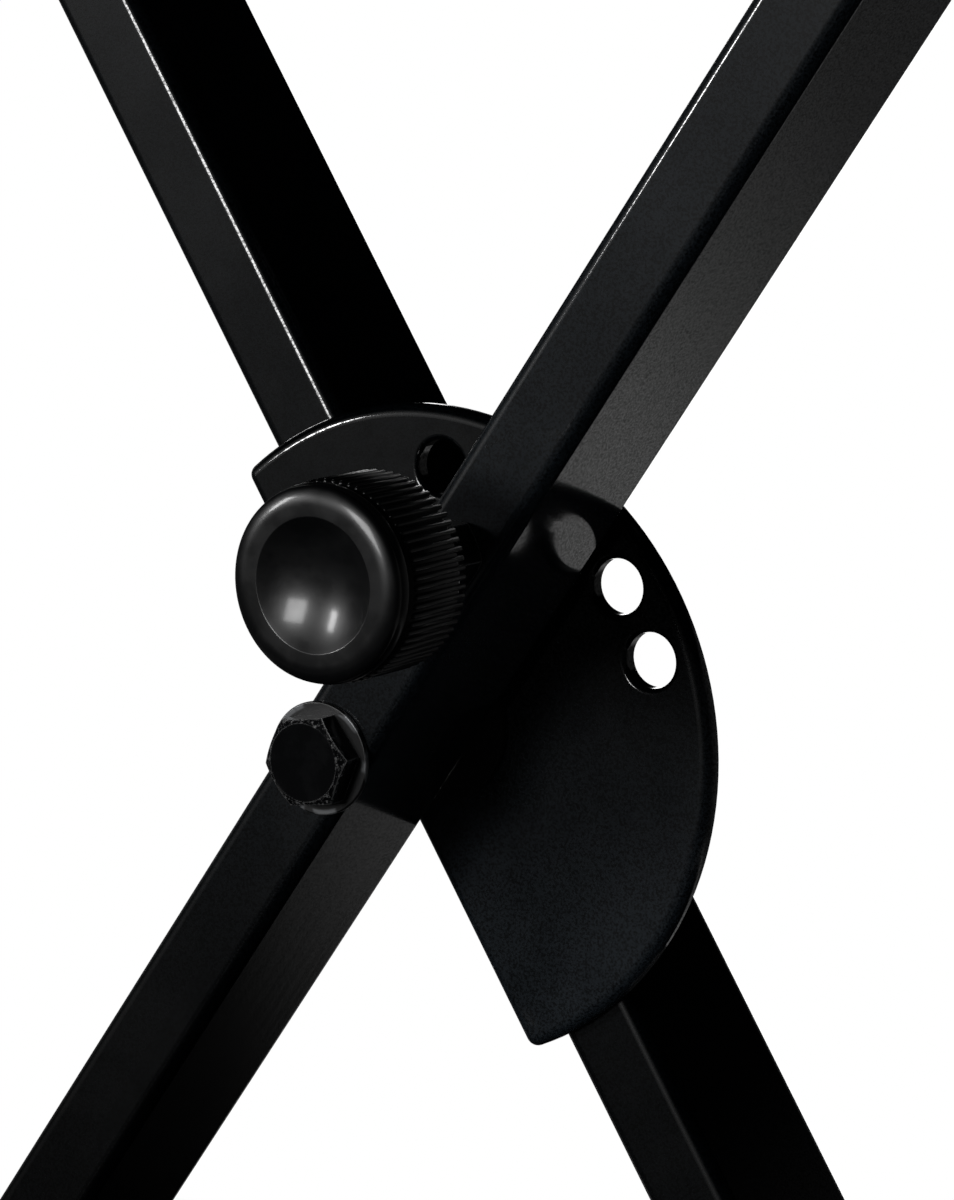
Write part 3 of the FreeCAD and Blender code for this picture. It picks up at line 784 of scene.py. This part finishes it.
def arcPoints(centre, radius, start, end, count):
    points = []
    for k in range(count + 1):
        angle = math.radians(start + (end - start) * k / count)
        points.append((centre[0] + radius * math.cos(angle), centre[1] + radius * math.sin(angle)))
    return points


def knobProfile():
    k = knobShape
    rim, skirt, back = k["rim"], k["skirt"], k["length"]
    mouth, pocket = k["mouth"], k["pocket"]
    edge = k["lip"] * (1 - math.cos(math.radians(270 - k["lipStart"])))
    profile = []
    for step in range(k["dishRings"]):
        share = step / k["dishRings"]
        profile.append((k["dish"] * share, edge + (k["dishDepth"] - edge) * (1 - share ** 2)))
    profile += arcPoints((k["lipAt"], k["lip"]), k["lip"], k["lipStart"], 270, 5)
    profile += arcPoints(k["crown"], k["crown"][1], 270, k["crownEnd"], 8)
    profile += [(rim + out, depth) for out, depth in k["groove"]]
    profile += [(skirt, 5.15), (skirt, 12.0), (skirt, 18.3)]
    profile += [(skirt - 0.15, 18.8), (skirt - 0.6, back - 0.05)]
    profile += [(radius, back + depth) for radius, depth in k["backFace"]]
    profile += [(mouth + 0.4, back), (mouth, back - 0.3), (mouth, back - 1.0), (pocket, back - 1.0)]
    profile += [(pocket, back - k["pocketDepth"]), (0.0, back - k["pocketDepth"])]
    return profile


def spinProfile(bm, profile, centre, steps):
    # profile in mm (radius, depth), spun about the -Y axis through centre
    dots = []
    for radius, depth in profile:
        dots.append(bm.verts.new(centre + Vector((radius, depth, 0)) * 0.001))
    runs = [bm.edges.new(pair) for pair in zip(dots, dots[1:])]
    bmesh.ops.spin(
        bm, geom=dots + runs, cent=centre, axis=(0, 1, 0), dvec=(0, 0, 0),
        angle=math.tau, steps=steps, use_merge=True, use_duplicate=False,
    )
    bmesh.ops.remove_doubles(bm, verts=bm.verts[:], dist=1e-6)


def addRib(bm, centre, angle):
    k = knobShape
    radius = k["ribRadius"] * 0.001
    across, along = k["ribFacets"]
    made = bmesh.ops.create_uvsphere(bm, u_segments=across, v_segments=along, radius=radius)["verts"]
    bmesh.ops.rotate(bm, verts=made, cent=(0, 0, 0), matrix=Matrix.Rotation(math.pi / 2, 3, "X"))
    back = [v for v in made if v.co.y > 1e-7]
    bmesh.ops.translate(bm, verts=back, vec=(0, (k["ribEnd"] - k["ribStart"]) * 0.001, 0))
    reach = (k["skirt"] - k["ribSink"]) * 0.001
    start = (k["ribStart"] + k["ribRadius"]) * 0.001
    bmesh.ops.translate(bm, verts=made, vec=centre + Vector((reach, start, 0)))
    bmesh.ops.rotate(bm, verts=made, cent=centre, matrix=Matrix.Rotation(angle, 3, "Y"))


def meshObject(bm, name):
    mesh = bpy.data.meshes.new(name)
    bm.to_mesh(mesh)
    bm.free()
    mesh.shade_smooth()
    thing = bpy.data.objects.new(name, mesh)
    bpy.context.scene.collection.objects.link(thing)
    return thing


def buildKnob():
    centre = Vector(((knobLow.x + knobHigh.x) / 2, knobLow.y, (knobLow.z + knobHigh.z) / 2))
    bm = bmesh.new()
    spinProfile(bm, knobProfile(), centre, knobShape["steps"])
    bmesh.ops.recalc_face_normals(bm, faces=bm.faces[:])
    for k in range(knobShape["ribs"]):
        addRib(bm, centre, math.tau * (k + 0.5) / knobShape["ribs"])
    knob = meshObject(bm, "ribbed_knob")
    knob.data.materials.append(finishes["knob_plastic"])
    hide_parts("lock_knob")
    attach(knob, "plunger")


buildKnob()
print("knob built")


springShape = {              # metres
    "wire": 0.0005,          # radius
    "wireSides": 10,
    "turns": 6,
    "steps": 144,
    "pull": 0.005,
}


def buildSpring():
    low, high = corners("plunger_spring")
    wire = springShape["wire"]
    centre = Vector(((low.x + high.x) / 2, low.y + wire, (low.z + high.z) / 2))
    rise = high.y - low.y - 2 * wire
    bm = bmesh.new()
    sides = springShape["wireSides"]
    section = bmesh.ops.create_circle(bm, cap_ends=True, segments=sides, radius=wire)["verts"]
    reach = (high.x - low.x) / 2 - wire
    bmesh.ops.translate(bm, verts=section, vec=centre + Vector((reach, 0, 0)))
    bmesh.ops.spin(
        bm, geom=bm.verts[:] + bm.edges[:] + bm.faces[:], cent=centre, axis=(0, 1, 0),
        dvec=(0, rise / springShape["steps"], 0), angle=math.tau * springShape["turns"],
        steps=springShape["steps"], use_duplicate=False,
    )
    bmesh.ops.recalc_face_normals(bm, faces=bm.faces[:])
    coil = meshObject(bm, "coil_spring")
    coil.data.materials.append(finishes[slotOf["plunger_spring"]])
    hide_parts("plunger_spring")
    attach(coil, "front_frame")
    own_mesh(coil)


buildSpring()
print("spring built")
